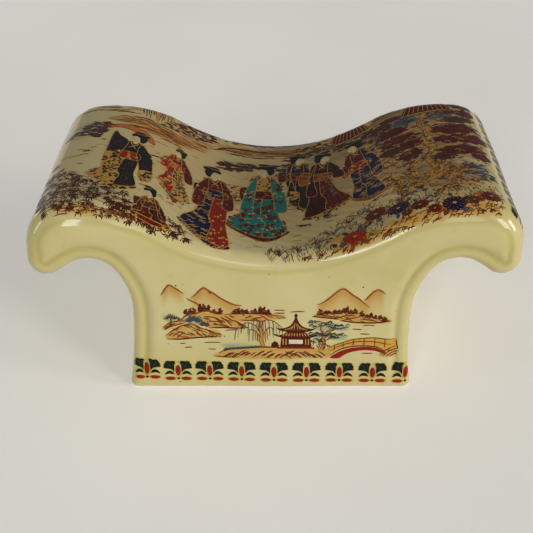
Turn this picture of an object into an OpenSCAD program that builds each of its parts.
// Saddle-shaped ceramic pillow, built hollow from clay slabs luted together with slip.
// A bent headrest slab rolls over into two wings. Two side walls carry it, a raised panel closes
// the front and another the back, and a base slab closes the foot.
// +X runs along the pillow, -Y is the front, +Z is up. The origin is under the middle of the foot.

/* [Overall] */
// Length of the foot along the floor
foot_length = 202; // [170:1:230]
// Depth from the front panel's face to the back panel's face
depth = 175; // [140:1:210]
// Height of the wings above the floor
wing_height = 148.5; // [140:0.5:170]
// Height of the headrest at the middle of the saddle
saddle_height = 110; // [100:0.5:118]
// How far each wing reaches past the foot
overhang = 63; // [55:0.5:80]

/* [Wings] */
// Distance from a wing's tip in to its highest point
crown_inset = 37; // [33:0.5:46]
// Radius of the crown on top of a wing
crown_radius = 98; // [80:1:115]
// Radius of the upper corner of a wing's tip
nose_radius = 30; // [22:0.5:32]
// Radius of the lip that hangs under a wing's tip
lip_radius = 12.5; // [11.5:0.5:15]
// Height of the lip's lowest point above the floor
lip_height = 96.5; // [90:0.5:103]
// Slope of a wing's underside where it leaves the lip, in degrees
droop_angle = 36; // [26:0.5:40]
// Radius of the gentle hollow under a wing, between the lip and the arch
droop_radius = 150; // [80:5:240]

/* [Side walls] */
// Radius of the arch between a wing and its side wall
arch_radius = 20.5; // [17:0.5:26]
// How far the arch stands out from the waist
arch_ease = 7.5; // [3:0.5:10]
// Height of the waist, the narrowest place of the pillow
waist_height = 66; // [50:1:74]
// How far the foot spreads past the waist on each side
foot_flare = 5.6; // [2:0.2:8]

/* [Clay] */
// Thickness of the headrest slab and of the side walls
wall = 8.5; // [8:0.5:9.5]
// Thickness of the front and back panels
panel_thickness = 8; // [6:0.5:11]
// How far a panel stands proud of the rim around it
panel_proud = 1.2; // [0.4:0.1:2.4]
// Radius of a panel's softened edge
panel_round = 1.8; // [0.8:0.1:3]
// Radius of the outer front and back edges of headrest and side walls
edge_round = 7; // [2:0.5:7.5]
// Radius of the bottom corners
foot_round = 4.5; // [1.5:0.5:6]
// Thickness of the base slab
base_thickness = 8; // [6:0.5:12]
// How far the base slab is set up above the floor, inside the foot
base_rise = 2; // [0.5:0.5:5]
// Diameter of the firing vent through the base slab
vent_diameter = 12; // [6:0.5:20]

/* [Luting] */
// Thickness of the slip in every seam between two pieces
slip = 0.2; // [0.1:0.05:0.5]
// Radius of the clay coil pressed into the inside corner along each panel
coil_radius = 4; // [2:0.5:6]
// Radius of the clay bead over the inside seam of each lip
bead_radius = 3; // [2:0.5:4]

/* [Hidden] */
$fn = 96;

glaze_cream = "#d9c98f";
bare_clay = "#cfc4ae";
joining_slip = "#bfb49d";

// Margin by which cutting shapes reach past what they cut
past = 20;
// Rounded cuts are pulled this far back into their corner, so that they cross both faces cleanly
cut_pull = 0.95;
// Hair by which each stretch of the profile runs into its neighbours, so that they join
weld = 1e-6;
// Widest flat band behind a panel's softened edge
band_width = 2.5;
// Share of the lip's inner radius that a coil or a panel's edge may fill
lip_fill = 0.8;
// Steps in which an arc is followed where a plain outline is enough
steps = 12;

// Angles and one length are rounded, so that neighbouring stretches share their ends exactly
function tidy(value, digits) = round(value * pow(10, digits)) / pow(10, digits);
function on_circle(centre, radius, angle) = centre + radius * [cos(angle), sin(angle)];

// Reach of the profile
tip_x = foot_length / 2 + overhang;
rim_depth = depth - 2 * panel_proud;
panel_inner = depth / 2 - panel_thickness;

// Saddle and crown, two arcs that meet where the headrest is steepest
saddle_rise = wing_height - saddle_height;
saddle_slope = tidy(2 * atan(saddle_rise / (tip_x - crown_inset)), 2);
both_radii = saddle_rise / (1 - cos(saddle_slope));
crown_x = both_radii * sin(saddle_slope);

// Nose, tangent to the crown and to the upright end of the wing
nose_x = tip_x - nose_radius;
nose_angle = tidy(acos((nose_x - crown_x) / (crown_radius - nose_radius)), 2);
crown_to_nose = (nose_x - crown_x) / cos(nose_angle);
nose_rise = crown_to_nose * sin(nose_angle);
crown_r = crown_to_nose + nose_radius;
saddle_r = both_radii - crown_r;

// Lip, with the upright end of the wing standing on it
lip_centre = [tip_x - lip_radius, lip_height + lip_radius];
end_height = tidy(wing_height - crown_r + nose_rise - lip_centre[1], 3);
nose_centre = [nose_x, lip_centre[1] + end_height];
crown_centre = [crown_x, nose_centre[1] - nose_rise];
saddle_centre = [0, crown_centre[1] + both_radii * cos(saddle_slope)];

// Droop, the gently hollow underside of the wing, and the arch it runs into
droop_start = 90 - droop_angle;
droop_centre = on_circle(lip_centre, lip_radius + droop_radius, droop_start - 180);
arch_target = foot_length / 2 - foot_flare + arch_ease + arch_radius;
droop_end = tidy(acos((arch_target - droop_centre[0]) / (droop_radius - arch_radius)), 2);
arch_centre = on_circle(droop_centre, droop_radius - arch_radius, droop_end);

// Waist and flare, which carry the arch on down to the foot
arch_drop = arch_centre[1] - waist_height;
arch_end = tidy(180 - 2 * atan(arch_ease / arch_drop), 2);
waist_to_arch = arch_drop / sin(arch_end);
waist_radius = waist_to_arch + arch_radius;
waist_centre = [arch_centre[0] - waist_to_arch * cos(arch_end), waist_height];
waist_x = waist_centre[0] - waist_radius;
foot_x = waist_x + foot_flare;
flare_radius = (pow(waist_height, 2) + pow(foot_flare, 2)) / (2 * foot_flare);
flare_centre = [waist_x + flare_radius, waist_height];
flare_end = 180 + tidy(asin((waist_height + wall) / flare_radius), 2);
slip_turn = tidy(180 / PI * slip / droop_radius, 2);

// The right half of the profile, from the saddle's middle round the wing and down to the foot.
// Arcs are [sense, centre, radius, first angle, last angle]: sense 1 bulges outward, -1 is hollow.
// The one straight stretch is the upright end of the wing, [0, lower end, height].
HEADREST_PATH = [
    [-1, saddle_centre, saddle_r, -90, saddle_slope - 90],
    [1, crown_centre, crown_r, saddle_slope + 90, nose_angle],
    [1, nose_centre, nose_radius, 360 + nose_angle, 360],
    [0, [tip_x, lip_centre[1]], end_height],
    [1, lip_centre, lip_radius, 0, droop_start - 180]
];
function side_path(start) = [
    [-1, droop_centre, droop_radius, start, droop_end],
    [-1, arch_centre, arch_radius, droop_end, arch_end],
    [-1, waist_centre, waist_radius, arch_end, 180],
    [-1, flare_centre, flare_radius, 180, flare_end]
];
PROFILE = concat(HEADREST_PATH, side_path(droop_start));

// Panels and coils start one seam inside the wall, and are no wider than the lip they follow allows
seat = wall + slip;
lip_inner = lip_radius - seat;
lip_room = lip_fill * lip_inner;
coil = min(coil_radius, lip_room);
band = min(band_width, lip_room - panel_round);

// Points along one stretch of the profile, taken inward by an inset
function stretch_points(s, inset) = s[0] == 0
    ? [s[1] + [-inset, s[2]], s[1] + [-inset, 0]]
    : [for (i = [0 : steps]) on_circle(s[1], s[2] - s[0] * inset, s[3] + (s[4] - s[3]) * i / steps)];

// Stands a shape drawn in the profile's plane upright, with its +Z side to the front
module upright() {
    rotate([90, 0, 0]) children();
}

module both_halves() {
    children();
    mirror([1, 0, 0]) children();
}

// Moves a shape in three steps, whole, fine and finest, so that no digit of a long number is lost
module place(p) {
    whole = [floor(p[0]), floor(p[1])];
    fine = [tidy(p[0] - whole[0], 5), tidy(p[1] - whole[1], 5)];
    translate(whole) translate(fine) translate(p - whole - fine) children();
}

// Draws a cross-section along one stretch. In the section, X is the depth in from the outer face.
module along_stretch(s) {
    if (s[0] == 0)
        place(s[1]) rotate([90, 0, 180]) linear_extrude(s[2] + weld) children();
    else
        place(s[1]) rotate_extrude(start = min(s[3], s[4]) - weld, angle = abs(s[4] - s[3]) + 2 * weld)
            place([s[2], 0]) mirror([s[0] > 0 ? 1 : 0, 0]) children();
}

module along_path(path) {
    for (s = path) along_stretch(s) children();
}

// Cross-section of the headrest and side walls, rounded along the outer front and back edges
module wall_section() {
    half = rim_depth / 2;
    straight = half - edge_round;
    translate([edge_round, -half]) square([wall - edge_round, rim_depth]);
    translate([0, -straight]) square([edge_round, 2 * straight]);
    for (side = [0, 1])
        mirror([0, side]) intersection() {
            translate([edge_round, straight]) circle(edge_round);
            translate([0, straight]) square(edge_round);
        }
}

// Cross-section of a panel's edge, softened at the corner that stands proud
module panel_section() {
    soft = depth / 2 - panel_round;
    translate([seat, panel_inner]) square([panel_round + band, panel_thickness - panel_round]);
    translate([seat + panel_round, soft]) square([band, panel_round]);
    intersection() {
        translate([seat + panel_round, soft]) circle(panel_round);
        translate([seat, soft]) square(panel_round);
    }
}

// Plain outline of everything inside the profile, taken inward by an inset
module inside(inset) {
    right = [for (s = PROFILE) each stretch_points(s, inset)];
    left = [for (i = [len(right) - 1 : -1 : 0]) [-right[i][0], right[i][1]]];
    polygon(concat(right, left));
}

// What is cut away to round an edge: the square corner less the round, for a corner at the origin
// with the clay on its +X and +Y sides
module round_off(radius) {
    difference() {
        translate([-past, -past]) square(past + radius);
        translate(cut_pull * [radius, radius]) circle(radius);
    }
}

// Cuts at the foot: everything under the floor, and the rounded lower edges at front and back
module foot_cut() {
    translate([-tip_x, -depth, -past]) cube([2 * tip_x, 2 * depth, past]);
    for (turn = [0, 180])
        rotate(turn) translate([-tip_x, -depth / 2, 0])
            rotate([90, 0, 90]) linear_extrude(2 * tip_x) round_off(foot_round);
}

module headrest_slab() {
    color(glaze_cream) upright() both_halves() along_path(HEADREST_PATH) wall_section();
}

module side_wall() {
    color(glaze_cream) difference() {
        upright() along_path(side_path(droop_start + slip_turn)) wall_section();
        foot_cut();
        translate([foot_x, depth, 0]) rotate([90, 0, 0]) mirror([1, 0, 0])
            linear_extrude(2 * depth) round_off(foot_round);
    }
}

module panel() {
    color(glaze_cream) difference() {
        upright() {
            translate([0, 0, panel_inner]) linear_extrude(panel_thickness)
                inside(seat + panel_round + band / 2);
            both_halves() along_path(PROFILE) panel_section();
        }
        foot_cut();
    }
}

module base_slab() {
    half_depth = panel_inner - slip;
    color(bare_clay) difference() {
        translate([-foot_x, -half_depth, base_rise]) cube([2 * foot_x, 2 * half_depth, base_thickness]);
        upright() both_halves() translate([0, 0, -depth]) place(flare_centre)
            cylinder(r = flare_radius + seat, h = 2 * depth);
        translate([0, 0, -past]) cylinder(d = vent_diameter, h = 2 * past + base_thickness);
    }
}

// Coil pressed into the corner behind a panel, from the base slab round to the base slab
module luting_coil() {
    back = panel_inner - slip;
    coil_foot = base_rise + base_thickness + slip;
    color(joining_slip) difference() {
        upright() both_halves() along_path(PROFILE)
            intersection() {
                translate([seat, back]) circle(coil);
                translate([seat, back - coil]) square(coil);
            }
        translate([-tip_x, -depth, coil_foot - 2 * past]) cube([2 * tip_x, 2 * depth, 2 * past]);
    }
}

// Bead over the inside of the seam where the headrest's lip meets a side wall
module lip_bead() {
    bead_length = 2 * (panel_inner - coil - 2 * slip);
    color(joining_slip) upright() translate([0, 0, -bead_length / 2]) linear_extrude(bead_length)
        intersection() {
            translate(on_circle(lip_centre, lip_inner, droop_start - 180)) circle(bead_radius);
            inside(seat);
        }
}

headrest_slab();
mirror([1, 0, 0]) side_wall();  // left_side_wall
side_wall();  // right_side_wall
panel();  // front_panel
mirror([0, 1, 0]) panel();  // back_panel
base_slab();
luting_coil();  // front_luting_coil
mirror([0, 1, 0]) luting_coil();  // back_luting_coil
mirror([1, 0, 0]) lip_bead();  // left_lip_bead
lip_bead();  // right_lip_bead
